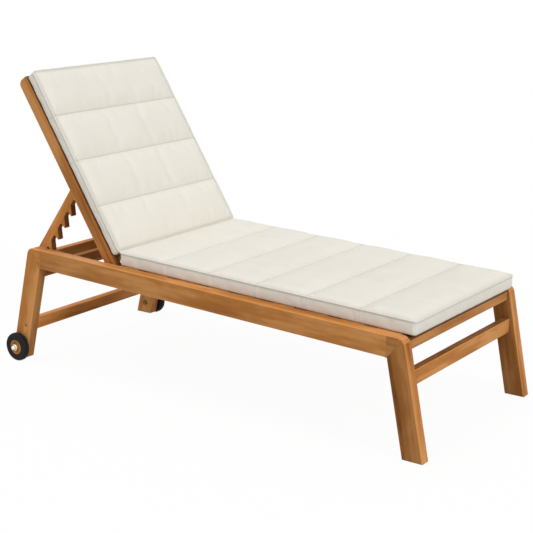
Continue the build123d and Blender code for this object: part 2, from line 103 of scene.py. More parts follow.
# The timber's grain: cells per metre along and across, and shares of the darker tone
GRAIN_CELLS = {
    "sway": (1.3, 7.0, 7.0), "fibre": (8.0, 300.0, 300.0), "blotch": (3.2, 15.0, 15.0),
    "streak": (1.2, 34.0, 34.0), "pores": (38.0, 1100.0, 1100.0), "knot": (3.1, 11.0, 11.0),
}
GRAIN_SHARES = {"ring": 0.09, "fibre": 0.26, "pores": 0.22, "knot": 0.72}
BLOTCH_SHARES = (-0.11, 0.52)
SEED_STEP = (0.371, 0.113, 0.237)
SWAY = 0.04
RING_CONE = (0.075, 1.0, 0.8)
RINGS_PER_METRE = 60.0

# Where a cushion's point counts as on its rim, a seam, its top panel or its base
ON_RIM = 0.9999
ON_SEAM = 1e-4
TOP_START = 0.999
BASE_END = 0.001
EDGE_SEAM_ROW = 2

# Painted shade in the cloth: in its creases and seams, beside its piping and along its base
PART_SHADES = {"seams": 0.2, "edge": 0.12, "band": 0.07, "rim": 0.42}
ROW_SHADES = {1: 0.16, 2: 0.08, 3: 0.04}
NEAR_SEAM_SHADE = 0.07
LOW_BAND_SHADE = 0.12

# The cloth solver
CLOTH_FRAMES = 20
CLOTH_SETTINGS = {
    "vertex_group_mass": "held", "quality": 6, "mass": 0.25, "tension_stiffness": 15,
    "compression_stiffness": 15, "shear_stiffness": 6, "bending_stiffness": 1.2, "use_pressure": True,
    "uniform_pressure_force": 4.0, "shrink_min": -0.009,
}

# The studio's light
WHITE = (1.0, 1.0, 1.0)
SUN_TINT = (1.0, 0.99, 0.97)


def joint_place(name: str) -> Vector:
    """Gives the place, in metres, of the joint of that name in the record."""
    return Vector(next(joint["pos_m"] for joint in frame["joints"] if joint["name"] == name))


def rail_matrix() -> Matrix:
    """Gives the placement of the side rails' own frame, whose origin is the head corner at floor level."""
    turn = Matrix.Rotation(SLOPE, 4, "Y")
    pivot = joint_place("backrest_recline")
    return Matrix.Translation(pivot - turn @ PIVOT_IN_RAIL) @ turn


def back_matrix() -> Matrix:
    """Gives the placement of the backrest's frame: X up the back from the pivot, Z towards the sitter."""
    about = Matrix.Scale(-1, 4, (1, 0, 0)) @ Matrix.Scale(-1, 4, (0, 1, 0))
    turn = Matrix.Rotation(SLOPE + RECLINE, 4, "Y") @ about
    return Matrix.Translation(joint_place("backrest_recline")) @ turn


class Graph:
    """Adds and links the nodes of one shader tree."""

    def __init__(self, tree: Tree) -> None:
        """Keeps the tree that the nodes go into."""
        self.tree = tree

    def add(self, kind: str, inputs: dict | None = None, **settings: object) -> Node:
        """Adds a node.

        Args:
            kind: the node's type name without its ShaderNode prefix.
            inputs: values or sockets for its inputs, by name or index.
            settings: attributes of the node.

        Returns:
            The node.
        """
        node = self.tree.nodes.new(kind if kind.startswith("Node") else "ShaderNode" + kind)
        for name, value in settings.items():
            setattr(node, name, value)
        self.fill(node, inputs or {})
        return node

    def fill(self, node: Node, values: dict) -> None:
        """Feeds several inputs of a node, each named by its label or its number."""
        for name, value in values.items():
            self.feed(node.inputs[name], value)

    def feed(self, socket: Socket, value: object) -> None:
        """Links a socket to an input, or sets the input's value.

        Args:
            socket: the input.
            value: an output socket or a plain value.
        """
        if isinstance(value, Socket):
            self.tree.links.new(value, socket)
        elif isinstance(value, tuple) and len(value) == 3 and socket.type == "RGBA":
            socket.default_value = (*value, 1.0)
        else:
            socket.default_value = value

    def math(self, operation: str, first: object, second: object = 0.0, clamp: bool = False) -> Socket:
        """Adds a Math node on two values or sockets, and can keep its result from 0 to 1."""
        return self.add("Math", {0: first, 1: second}, operation=operation, use_clamp=clamp).outputs[0]

    def times(self, first: object, second: object, clamp: bool = False) -> Socket:
        """Multiplies two values or sockets."""
        return self.math("MULTIPLY", first, second, clamp)

    def plus(self, first: object, second: object, clamp: bool = False) -> Socket:
        """Adds two values or sockets."""
        return self.math("ADD", first, second, clamp)

    def vector(self, operation: str, first: object, second: object) -> Socket:
        """Adds a Vector Math node and gives its vector, or its value for DOT_PRODUCT and LENGTH."""
        node = self.add("VectorMath", {0: first, 1: second}, operation=operation)
        return node.outputs["Value" if operation in ("DOT_PRODUCT", "LENGTH") else "Vector"]

    def scaled(self, vector: object, factor: object) -> Socket:
        """Scales a vector by a value or a socket."""
        return self.add("VectorMath", {0: vector, "Scale": factor}, operation="SCALE").outputs["Vector"]

    def noise(self, position: object, stretch: Triple, detail: float = 2.0) -> Socket:
        """Adds a noise that is stretched along its axes.

        Args:
            position: the position socket.
            stretch: cells per metre along X, Y and Z.
            detail: octaves of detail.

        Returns:
            The noise value socket.
        """
        scaled = self.vector("MULTIPLY", position, stretch)
        node = self.add("TexNoise", {"Vector": scaled, "Scale": 1.0, "Detail": detail, "Roughness": 0.55})
        return node.outputs[0]

    def span(self, value: object, low: float, high: float, to: tuple[float, float] = (0.0, 1.0)) -> Socket:
        """Maps a value smoothly from the span between low and high onto another, and clamps it there."""
        inputs = {"Value": value, "From Min": low, "From Max": high, "To Min": to[0], "To Max": to[1]}
        return self.add("MapRange", inputs, interpolation_type="SMOOTHSTEP").outputs[0]

    def blend(self, share: object, first: object, second: object) -> Socket:
        """Mixes two colours, with the given share of the second one."""
        return self.add("Mix", {0: share, 6: first, 7: second}, data_type="RGBA").outputs[2]


class EffectGroups:
    """Builds each shared surface effect once."""

    def __init__(self) -> None:
        """Builds the groups."""
        self.timber = self.build_timber()
        self.weave = self.build_weave()
        self.wear = self.build_wear()

    def start(self, name: str, inputs: dict[str, str], outputs: dict[str, str]) -> tuple[Graph, dict, Node]:
        """Starts a group with named sockets.

        Args:
            name: the group's name.
            inputs: input names and their kinds.
            outputs: output names and their kinds.

        Returns:
            The graph, the input sockets by name, and the output node.
        """
        tree = bpy.data.node_groups.new(name, "ShaderNodeTree")
        for side, sockets in (("INPUT", inputs), ("OUTPUT", outputs)):
            for label, kind in sockets.items():
                tree.interface.new_socket(name=label, in_out=side, socket_type="NodeSocket" + kind)
        graph = Graph(tree)
        source = graph.add("NodeGroupInput")
        target = graph.add("NodeGroupOutput")
        return graph, {label: source.outputs[label] for label in inputs}, target

    def build_timber(self) -> Tree:
        """Builds the grain of planed timber along X: growth rings, streaks, fibres, pores and knots, and
        painted light and shade on one side.
        """
        graph, given, result = self.start(
            "timber_grain_and_side_light",
            {"Position": "Vector", "Facing": "Vector", "Pale": "Color", "Warm": "Color", "Deep": "Color",
             "Seed": "Float", "Streaks": "Float", "End": "Float", "Side Light": "Float"},
            {"Color": "Color", "Roughness": "Float", "Height": "Float"},
        )
        place = graph.vector("ADD", given["Position"], graph.scaled(SEED_STEP, given["Seed"]))
        bending = graph.add("TexNoise", {
            "Vector": graph.vector("MULTIPLY", place, GRAIN_CELLS["sway"]), "Scale": 1.0, "Detail": 2.0,
        })
        bent = graph.vector("ADD", place, graph.scaled(bending.outputs[1], SWAY))
        cone = graph.vector("MULTIPLY", bent, RING_CONE)
        ring_run = graph.times(graph.vector("LENGTH", cone, (0, 0, 0)), RINGS_PER_METRE)
        ring = graph.span(graph.math("PINGPONG", ring_run, 0.5), 0.05, 0.5)
        fibre = graph.noise(bent, GRAIN_CELLS["fibre"], 3.0)
        blotch = graph.noise(place, GRAIN_CELLS["blotch"], 3.0)
        streak = graph.span(graph.noise(bent, GRAIN_CELLS["streak"], 2.0), 0.52, 0.72)
        pores = graph.span(graph.noise(bent, GRAIN_CELLS["pores"], 1.0), 0.6, 0.74)
        share = graph.times(ring, GRAIN_SHARES["ring"])
        share = graph.plus(share, graph.times(fibre, GRAIN_SHARES["fibre"]))
        share = graph.plus(share, graph.span(blotch, 0.3, 0.72, BLOTCH_SHARES))
        share = graph.plus(share, graph.times(streak, given["Streaks"]), clamp=True)
        tone = graph.blend(graph.span(share, 0.04, 0.56), given["Pale"], given["Warm"])
        tone = graph.blend(graph.span(share, 0.5, 1.05), tone, given["Deep"])
        for mark, darkness in (("pores", pores), ("knot", self.knots(graph, place))):
            tone = graph.blend(graph.times(darkness, GRAIN_SHARES[mark]), tone, given["Deep"])
        split = graph.add("SeparateXYZ", {0: given["Facing"]})
        end = graph.span(graph.math("ABSOLUTE", split.outputs[0]), 0.35, 0.85)
        tone = graph.blend(graph.times(end, given["End"]), tone, given["Deep"])
        # Painted light and shade: faces that look along the grain's Z turn paler or darker by the piece's side
        # light.
        side = graph.span(graph.math("ABSOLUTE", split.outputs[2]), 0.5, 0.85)
        value = graph.plus(graph.times(side, given["Side Light"]), 1.0)
        rough = graph.plus(graph.times(fibre, 0.2), graph.times(pores, 0.1))
        height = graph.math("SUBTRACT", graph.times(fibre, 0.6), graph.times(pores, 0.5))
        graph.fill(result, {
            "Color": graph.add("HueSaturation", {"Value": value, "Color": tone}).outputs[0],
            "Roughness": graph.plus(rough, 0.4),
            "Height": graph.plus(height, graph.times(ring, -0.15)),
        })
        return graph.tree

    @staticmethod
    def knots(graph: Graph, place: Socket) -> Socket:
        """Draws a small knot in some of the timber's cells.

        Args:
            graph: the grain's graph.
            place: the place in the log.

        Returns:
            The knots' darkness.
        """
        spread = graph.vector("MULTIPLY", place, GRAIN_CELLS["knot"])
        cells = graph.add("TexVoronoi", {"Vector": spread, "Scale": 1.0})
        chance = graph.add("SeparateColor", {0: cells.outputs["Color"]}).outputs[0]
        return graph.times(graph.span(cells.outputs["Distance"], 0.14, 0.03), graph.span(chance, 0.54, 0.66))

    def build_weave(self) -> Tree:
        """Builds a plain weave that follows whichever way a face looks, with slubs and soft shade."""
        graph, given, result = self.start(
            "cloth_weave",
            {"Position": "Vector", "Facing": "Vector", "Pitch": "Float"},
            {"Height": "Float", "Slub": "Float", "Shade": "Float"},
        )
        turns = graph.math("DIVIDE", math.tau, given["Pitch"])
        place = graph.add("SeparateXYZ", {0: given["Position"]})
        facing = graph.add("SeparateXYZ", {0: graph.vector("MULTIPLY", given["Facing"], given["Facing"])})
        waves = [graph.math("SINE", graph.times(place.outputs[axis], turns)) for axis in range(3)]
        total: object = 0.0
        for axis in range(3):
            first, second = waves[(axis + 1) % 3], waves[(axis + 2) % 3]
            product = graph.times(first, second)
            total = graph.plus(total, graph.times(product, facing.outputs[axis]))
        warp = graph.noise(given["Position"], (30.0, 900.0, 900.0), 2.0)
        weft = graph.noise(given["Position"], (900.0, 30.0, 900.0), 2.0)
        graph.fill(result, {
            "Height": graph.plus(graph.times(total, 0.5), 0.5),
            "Slub": graph.span(graph.math("MAXIMUM", warp, weft), 0.5, 0.78),
            "Shade": graph.noise(given["Position"], (5.0, 5.0, 5.0), 3.0),
        })
        return graph.tree

    def build_wear(self) -> Tree:
        """Builds a fine scuffing with dust that gathers on upward faces."""
        graph, given, result = self.start(
            "scuff_and_dust",
            {"Position": "Vector", "Facing": "Vector", "Grain": "Float"},
            {"Scuff": "Float", "Dust": "Float"},
        )
        fine = graph.noise(graph.scaled(given["Position"], given["Grain"]), (1.0, 1.0, 1.0), 4.0)
        up = graph.span(graph.add("SeparateXYZ", {0: given["Facing"]}).outputs[2], 0.1, 1.0)
        patch = graph.span(graph.noise(given["Position"], (60.0, 60.0, 60.0), 3.0), 0.35, 0.7)
        graph.fill(result, {"Scuff": graph.span(fine, 0.42, 0.68), "Dust": graph.times(up, patch)})
        return graph.tree


GROUPS = EffectGroups()


def new_material(name: str) -> tuple[Material, Graph, Node]:
    """Starts a material.

    Args:
        name: the material's name.

    Returns:
        The material, its graph and its Principled BSDF.
    """
    material = bpy.data.materials.new(name)
    material.use_nodes = True
    return material, Graph(material.node_tree), material.node_tree.nodes["Principled BSDF"]


def bump(graph: Graph, shader: Node, height: object, distance: float, strength: float) -> None:
    """Feeds a height to the shader's normal, with the metres that a height of 1 stands for."""
    node = graph.add("Bump", {"Height": height, "Distance": distance, "Strength": strength})
    graph.feed(shader.inputs["Normal"], node.outputs[0])


def seen_directly(graph: Graph) -> Socket:
    """Gives 1 where the camera, a mirror or glass looks, and 0 for light on its way to the object.

    Args:
        graph: the graph of a material or of the world.

    Returns:
        The value's socket.
    """
    path = graph.add("LightPath")
    seen = graph.math("MAXIMUM", path.outputs["Is Camera Ray"], path.outputs["Is Glossy Ray"])
    return graph.math("MAXIMUM", seen, path.outputs["Is Transmission Ray"])


def turned(graph: Graph, output: str, turn: Triple, kind: str = "POINT") -> Socket:
    """Reads a texture coordinate and turns it with a Mapping node."""
    source = graph.add("TexCoord").outputs[output]
    return graph.add("Mapping", {"Vector": source, "Rotation": turn}, vector_type=kind).outputs[0]


def add_along(graph: Graph, effect: Tree, turn: Triple, values: dict) -> Node:
    """Adds a surface effect on the piece's own coordinates, turned to run along the piece.

    Args:
        graph: the material's graph.
        effect: the effect's node group.
        turn: the turn that brings the piece's run along X.
        values: the effect's other inputs.

    Returns:
        The effect's node.
    """
    place = turned(graph, "Object", turn)
    facing = turned(graph, "Normal", turn, "VECTOR")
    return graph.add("Group", {"Position": place, "Facing": facing, **values}, node_tree=effect)


def marked(graph: Graph, name: str) -> Socket:
    """Reads a value that the mesh itself carries."""
    return graph.add("Attribute", attribute_name=name, attribute_type="GEOMETRY").outputs["Fac"]


def add_wear(graph: Graph, grain: float) -> Node:
    """Adds the wear effect on the piece's own coordinates.

    Args:
        graph: the material's graph.
        grain: how fine the scuffs are, in cells per metre.

    Returns:
        The effect's node.
    """
    outputs = graph.add("TexCoord").outputs
    inputs = {"Position": outputs["Object"], "Facing": outputs["Normal"], "Grain": grain}
    return graph.add("Group", inputs, node_tree=GROUPS.wear)


class EdgeTone(Enum):
    """How a timber face's tone leaves its grain's: above zero is painted highlight, below is painted shade,
    with soak in the notches.
    """

    PAINTED_ARRIS_HIGHLIGHT = 1.0
    PAINTED_FOOT_SHADOW = -0.6
    SHADED_CREST = -1.0
    SHADED_STILE = -0.75
    SOAKED_AND_SHADED_NOTCH = -0.9


class GrainRun(Enum):
    """How a timber's grain runs, as the turn that brings it along X."""

    RAIL = (0.0, -SLOPE, 0.0)
    CROSS = (0.0, -SLOPE, -math.pi / 2)
    FOOT_LEG = (0.0, math.radians(-79.4), 0.0)
    HEAD_LEG = (0.0, math.radians(-105.0), 0.0)
    BACK = (0.0, math.radians(122.3), 0.0)
    PROP = (0.0, math.radians(-122.9), 0.0)
    TURNED = (0.0, 0.0, math.radians(-90.0))


@dataclass(frozen=True)
class TimberFinish:
    """Oiled timber in its own tone and from its own part of the log."""

    name: str
    run: GrainRun
    seed: float
    tone: float = 1.0
    side_light: float = 0.0
    streaks: float = 0.17
    end: float = 0.5
    highlight_gain: float = 1.25
    shade_and_soak_gain: float = 0.45
    gloss: float = 0.07
    pale: Triple = (0.65, 0.304, 0.1)
    warm: Triple = (0.465, 0.183, 0.044)
    deep: Triple = (0.165, 0.051, 0.011)

    def material(self) -> Material:
        """Makes the material."""
        material, graph, shader = new_material(self.name)
        pale, warm, deep = (
            tuple(channel * self.tone for channel in colour) for colour in (self.pale, self.warm, self.deep)
        )
        grain = add_along(graph, GROUPS.timber, self.run.value, {
            "Pale": pale, "Warm": warm, "Deep": deep,
            "Seed": self.seed, "Streaks": self.streaks, "End": self.end, "Side Light": self.side_light,
        })
        edge = marked(graph, "edge_tone")
        gain = self.highlight_gain + self.side_light * 0.3
        # Painted highlight: the arrises blend towards a paler tone, more so on pieces given more side light.
        wear_and_highlight = tuple(min(1.0, channel * gain) for channel in pale)
        # Painted shade: faces marked below zero blend towards this dark tone, which in the notches also stands
        # for soaked end grain.
        shade_and_soak = tuple(channel * self.shade_and_soak_gain for channel in deep)
        colour = graph.blend(graph.times(edge, 0.6, clamp=True), grain.outputs["Color"], wear_and_highlight)
        colour = graph.blend(graph.times(edge, -0.85, clamp=True), colour, shade_and_soak)
        graph.fill(shader, {
            "Base Color": colour, "Roughness": grain.outputs["Roughness"],
            "Specular IOR Level": self.gloss,
        })
        bump(graph, shader, grain.outputs["Height"], 0.0004, 0.35)
        return material


@dataclass(frozen=True)
class ClothFinish:
    """Woven outdoor cloth with slubs, a faint sheen and painted shade in its creases."""

    name: str
    turn: Triple
    base: Triple = (0.825, 0.795, 0.72)
    shaded: Triple = (0.745, 0.705, 0.625)
    crease_shade: Triple = (0.11, 0.09, 0.068)
    pitch: float = 0.0011

    def material(self) -> Material:
        """Makes the material."""
        material, graph, shader = new_material(self.name)
        weave = add_along(graph, GROUPS.weave, self.turn, {"Pitch": self.pitch})
        share = graph.times(weave.outputs["Slub"], 0.2)
        share = graph.plus(share, graph.span(weave.outputs["Shade"], 0.3, 0.7, (0.0, 0.3)))
        share = graph.plus(share, graph.times(weave.outputs["Height"], -0.16), clamp=True)
        cloth = graph.blend(share, self.base, self.shaded)
        graph.fill(shader, {
            "Base Color": graph.blend(marked(graph, "seam_shade"), cloth, self.crease_shade),
            "Roughness": graph.plus(0.82, graph.times(share, 0.1)),
            "Specular IOR Level": 0.25, "Sheen Weight": 0.12, "Sheen Roughness": 0.5,
        })
        slubs = graph.times(weave.outputs["Slub"], 0.5)
        bump(graph, shader, graph.plus(weave.outputs["Height"], slubs), 0.00025, 0.6)
        return material


@dataclass(frozen=True)
class MetalFinish:
    """Brushed or machined metal with fine scuffs."""

    name: str
    base: Triple
    wear_and_highlight: Triple
    roughness: float = 0.32
    grain: float = 700.0

    def material(self) -> Material:
        """Makes the material."""
        material, graph, shader = new_material(self.name)
        wear = add_wear(graph, self.grain)
        scuff = wear.outputs["Scuff"]
        graph.fill(shader, {
            "Base Color": graph.blend(scuff, self.base, self.wear_and_highlight),
            "Roughness": graph.plus(self.roughness, graph.times(scuff, 0.16)), "Metallic": 1.0,
        })
        bump(graph, shader, scuff, 0.00005, 0.4)
        return material


@dataclass(frozen=True)
class MouldedFinish:
    """Moulded rubber or plastic with a fine skin and a little dust."""

    name: str
    base: Triple
    dusty: Triple
    roughness: float = 0.55
    grain: float = 1500.0
    gloss: float = 0.5

    def material(self) -> Material:
        """Makes the material."""
        material, graph, shader = new_material(self.name)
        wear = add_wear(graph, self.grain)
        scuff = wear.outputs["Scuff"]
        share = graph.plus(graph.times(wear.outputs["Dust"], 0.35), graph.times(scuff, 0.15), clamp=True)
        graph.fill(shader, {
            "Base Color": graph.blend(share, self.base, self.dusty),
            "Roughness": graph.plus(self.roughness, graph.times(scuff, 0.2)),
            "Specular IOR Level": self.gloss,
        })
        bump(graph, shader, scuff, 0.0001, 0.35)
        return material


def new_object(name: str, mesh: Mesh, material: Material) -> Piece:
    """Makes an object at the origin from a finished mesh.

    Args:
        name: the piece's name.
        mesh: its mesh, in place.
        material: its one material.

    Returns:
        The object.
    """
    mesh.materials.clear()
    mesh.materials.append(material)
    piece = bpy.data.objects.new(name, mesh)
    bpy.context.scene.collection.objects.link(piece)
    return piece


def mesh_from(name: str, shape: Shape) -> Mesh:
    """Turns a finished shape into a mesh, and frees the shape."""
    mesh = bpy.data.meshes.new(name)
    shape.to_mesh(mesh)
    shape.free()
    return mesh


def read_points(mesh: Mesh) -> np.ndarray:
    """Reads a mesh's points as rows of X, Y and Z."""
    flat = np.zeros(len(mesh.vertices) * 3, np.float32)
    mesh.vertices.foreach_get("co", flat)
    return flat.reshape(-1, 3).astype(float)


def write_points(mesh: Mesh, points: np.ndarray) -> None:
    """Moves a mesh's points to the given rows of X, Y and Z."""
    mesh.vertices.foreach_set("co", points.astype(np.float32).ravel())


def cut(shape: Shape, place: Vector, facing: Vector) -> None:
    """Cuts a shape's faces along the plane through a place, and keeps both sides."""
    bmesh.ops.bisect_plane(
        shape, geom=shape.verts[:] + shape.edges[:] + shape.faces[:], dist=SAME_PLACE,
        plane_co=place, plane_no=facing,
    )


def shade_by_angle(mesh: Mesh, degrees: float) -> None:
    """Shades a mesh smooth, but for the edges sharper than an angle in degrees."""
    mesh.shade_smooth()
    mesh.set_sharp_from_angle(angle=math.radians(degrees))


@dataclass
class Timber:
    """The sawn and planed pieces, each with its edges sanded and its own grain."""

    sanding: float = 0.0008
    easing: float = 0.002
    corner_radius: float = 0.031
    corner_steps: int = 9
    flat_to: float = math.radians(0.5)
    sanded_from: float = math.radians(28)
    arris_width: float = 0.0034
    crest_height: float = 0.009
    foot_height: float = 0.013
    smooth_angle: float = 32.0
    finishes: dict[str, TimberFinish] = field(default_factory=dict)

    def __post_init__(self) -> None:
        """Lists the finish of every timber node."""
        for number, side in enumerate(("right", "left")):
            shift = 3.1 * number
            # The tones are partly painted light: pieces in shade, such as the head stretcher, are made paler,
            # and the rest rail darker.
            for stem, run, seed, tones, side_light, end in (
                ("side_rail", GrainRun.RAIL, 1.0, (0.92, 0.92), 0.2, 0.5),
                ("foot_leg", GrainRun.FOOT_LEG, 2.3, (0.7, 0.63), 0.66, 0.5),
                ("head_leg", GrainRun.HEAD_LEG, 4.1, (1.08, 1.05), -0.36 + 0.5 * number, 0.4),
                ("foot_corner_block", GrainRun.RAIL, 5.7, (0.74, 0.74), 0.5, 0.3),
                ("head_corner_block", GrainRun.RAIL, 6.4, (1.04, 1.0), 0.1, 0.3),
                ("slat_bearer", GrainRun.RAIL, 7.2, (0.8, 0.8), 0.0, 0.5),
                ("backrest_stile", GrainRun.BACK, 8.6, (0.94, 0.9), 0.1, 0.5),
                ("prop", GrainRun.PROP, 9.3, (1.3, 1.1), 0.0, 0.5),
            ):
                name = f"{stem}_{side}"
                self.finishes[name] = TimberFinish(
                    f"{name}_timber", run, seed + shift, tones[number], side_light, end=end,
                )
        for number, (name, tone, side_light) in enumerate((
            ("foot_end_rail", 0.88, 0.0), ("foot_stretcher", 1.03, -0.4), ("head_end_rail", 0.69, 0.9),
            ("head_stretcher", 1.18, 0.1), ("rest_rail", 0.55, 1.1), ("backrest_top_rail", 0.9, 0.0),
            ("backrest_bottom_rail", 0.85, 0.0),
        )):
            seed = 11.0 + 1.7 * number
            self.finishes[name] = TimberFinish(f"{name}_timber", GrainRun.CROSS, seed, tone, side_light)
        seat = TimberFinish("seat_slat_timber", GrainRun.CROSS, 30.2, 0.92)
        back = TimberFinish("back_slat_timber", GrainRun.CROSS, 33.9, 0.92)
        self.finishes.update({f"seat_slat_{number}": seat for number in range(1, 10)})
        self.finishes.update({f"back_slat_{number}": back for number in range(1, 7)})

    def rounded_corner(self, shape: Shape, outward: float) -> None:
        """Gives a side frame's corner its full rounding, over the solid's smaller one.

        Args:
            shape: a leg or corner block, in place.
            outward: 1 at the foot end and -1 at the head end.
        """
        placed = rail_matrix()
        bmesh.ops.transform(shape, matrix=placed.inverted(), verts=shape.verts)
        radius = self.corner_radius
        corner = FRAME_RUN + CORNER_RUN if outward > 0 else -CORNER_RUN
        centre = Vector((
            corner - outward * radius * (1 - math.sin(LEG_LEAN)) / math.cos(LEG_LEAN), 0, FRAME_TOP - radius,
        ))
        for step in range(self.corner_steps + 1):
            angle = LEG_LEAN + (math.pi / 2 - LEG_LEAN) * step / self.corner_steps
            cut(shape, centre, Vector((-outward * math.sin(angle), 0, math.cos(angle))))
        for vertex in shape.verts:
            reach = Vector((vertex.co.x - centre.x, 0, vertex.co.z - centre.z))
            angle = math.atan2(reach.z, reach.x * outward)
            on_face = abs(abs(vertex.co.y) - RAIL_MIDDLE) > RAIL_HALF - self.easing / 2
            limit = radius - (self.easing if on_face else 0.0)
            if LEG_LEAN - SAME_ANGLE < angle < math.pi / 2 + SAME_ANGLE and reach.length > limit:
                vertex.co += reach.normalized() * (limit - reach.length)
        bmesh.ops.remove_doubles(shape, verts=shape.verts, dist=FOLD_MERGE)
        bmesh.ops.dissolve_degenerate(shape, dist=FOLD_MERGE, edges=shape.edges)
        bmesh.ops.transform(shape, matrix=placed, verts=shape.verts)

    def planed(self, name: str) -> Mesh:
        """Copies a node's mesh, joins its triangles, sands its edges and marks the faces for painted highlight
        and painted shade.

        Args:
            name: the node's name.

        Returns:
            The sanded mesh.
        """
        mesh = frame["nodes"][name].data.copy()
        shape = bmesh.new()
        shape.from_mesh(mesh)
        shape.faces.layers.float.new("edge_tone")
        bmesh.ops.remove_doubles(shape, verts=shape.verts, dist=MERGE)
        if "_leg_" in name or "_corner_block_" in name:
            self.rounded_corner(shape, 1.0 if name.startswith("foot") else -1.0)
        bmesh.ops.dissolve_limit(shape, angle_limit=self.flat_to, verts=shape.verts, edges=shape.edges)
        corners = [
            edge for edge in shape.edges if edge.is_manifold and edge.calc_face_angle(0) > self.sanded_from
        ]
        bmesh.ops.bevel(
            shape, geom=corners, offset=self.sanding, offset_type="OFFSET", affect="EDGES", segments=2,
            profile=0.5, material=-1, clamp_overlap=True,
        )
        bmesh.ops.remove_doubles(shape, verts=shape.verts, dist=MERGE)
        self.mark_faces(shape, name)
        if name.startswith("prop_"):
            self.soak_and_shade_notches(shape, name)
        shape.to_mesh(mesh)
        shape.free()
        if "custom_normal" in mesh.attributes:
            mesh.attributes.remove(mesh.attributes["custom_normal"])
        shade_by_angle(mesh, self.smooth_angle)
        return mesh

    def mark_faces(self, shape: Shape, name: str) -> None:
        """Marks the arrises for painted highlight, the feet for painted contact shadow and the cushions'
        painted shade.

        Args:
            shape: the piece, in place.
            name: the piece's node.
        """
        tone = shape.faces.layers.float["edge_tone"]
        sitter = back_matrix().to_3x3() @ Vector((0, 0, 1))
        upward = rail_matrix().to_3x3() @ Vector((0, 0, 1))
        crest = max(vertex.co.dot(upward) for vertex in shape.verts) - self.crest_height
        # Painted shadow: the foot end rail's top strip, under the cushion's edge, is cut off and darkened.
        if name == "foot_end_rail":
            cut(shape, upward * crest, upward)
        for face in shape.faces:
            middle = face.calc_center_median()
            if face.calc_area() < self.arris_width * max(edge.calc_length() for edge in face.edges):
                face[tone] = EdgeTone.PAINTED_ARRIS_HIGHLIGHT.value
            # Painted contact shadow: the lowest faces of each leg are darkened where it stands on the floor.
            if "_leg_" in name and middle.z < self.foot_height:
                face[tone] = EdgeTone.PAINTED_FOOT_SHADOW.value
            if name == "foot_end_rail" and middle.dot(upward) > crest:
                face[tone] = EdgeTone.SHADED_CREST.value
            # Painted shade: the stile's face beside the back cushion is darkened for the shadow gap between
            # them.
            if "_stile_" in name and face.normal.dot(sitter) > 0.5:
                face[tone] = EdgeTone.SHADED_STILE.value

    @staticmethod
    def soak_and_shade_notches(shape: Shape, name: str) -> None:
        """Darkens the sawn walls of a prop's notches, partly for the oil soaking into their end grain and
        partly as painted shade in the recesses.

        Args:
            shape: the prop, in place.
            name: the prop's node.
        """
        tone = shape.faces.layers.float["edge_tone"]
        pivot = joint_place(name + "_swing")
        along = Vector((-math.cos(NOTCH_ANGLE), 0, -math.sin(NOTCH_ANGLE)))
        across = Vector((math.sin(NOTCH_ANGLE), 0, -math.cos(NOTCH_ANGLE)))
        for face in shape.faces:
            spot = face.calc_center_median() - pivot
            in_notch = spot.dot(along) > NOTCH_START and spot.dot(across) > NOTCH_FLOOR
            if abs(face.normal.y) < 0.5 and in_notch:
                face[tone] = EdgeTone.SOAKED_AND_SHADED_NOTCH.value

    def dress(self) -> list[Piece]:
        """Makes every timber piece.

        Returns:
            The pieces.
        """
        made = {finish: finish.material() for finish in dict.fromkeys(self.finishes.values())}
        pieces = []
        for name, finish in self.finishes.items():
            piece = new_object(f"{name}_sanded", self.planed(name), made[finish])
            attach(piece, frame["nodes"][name]["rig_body"])
            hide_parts(name)
            pieces.append(piece)
        return pieces


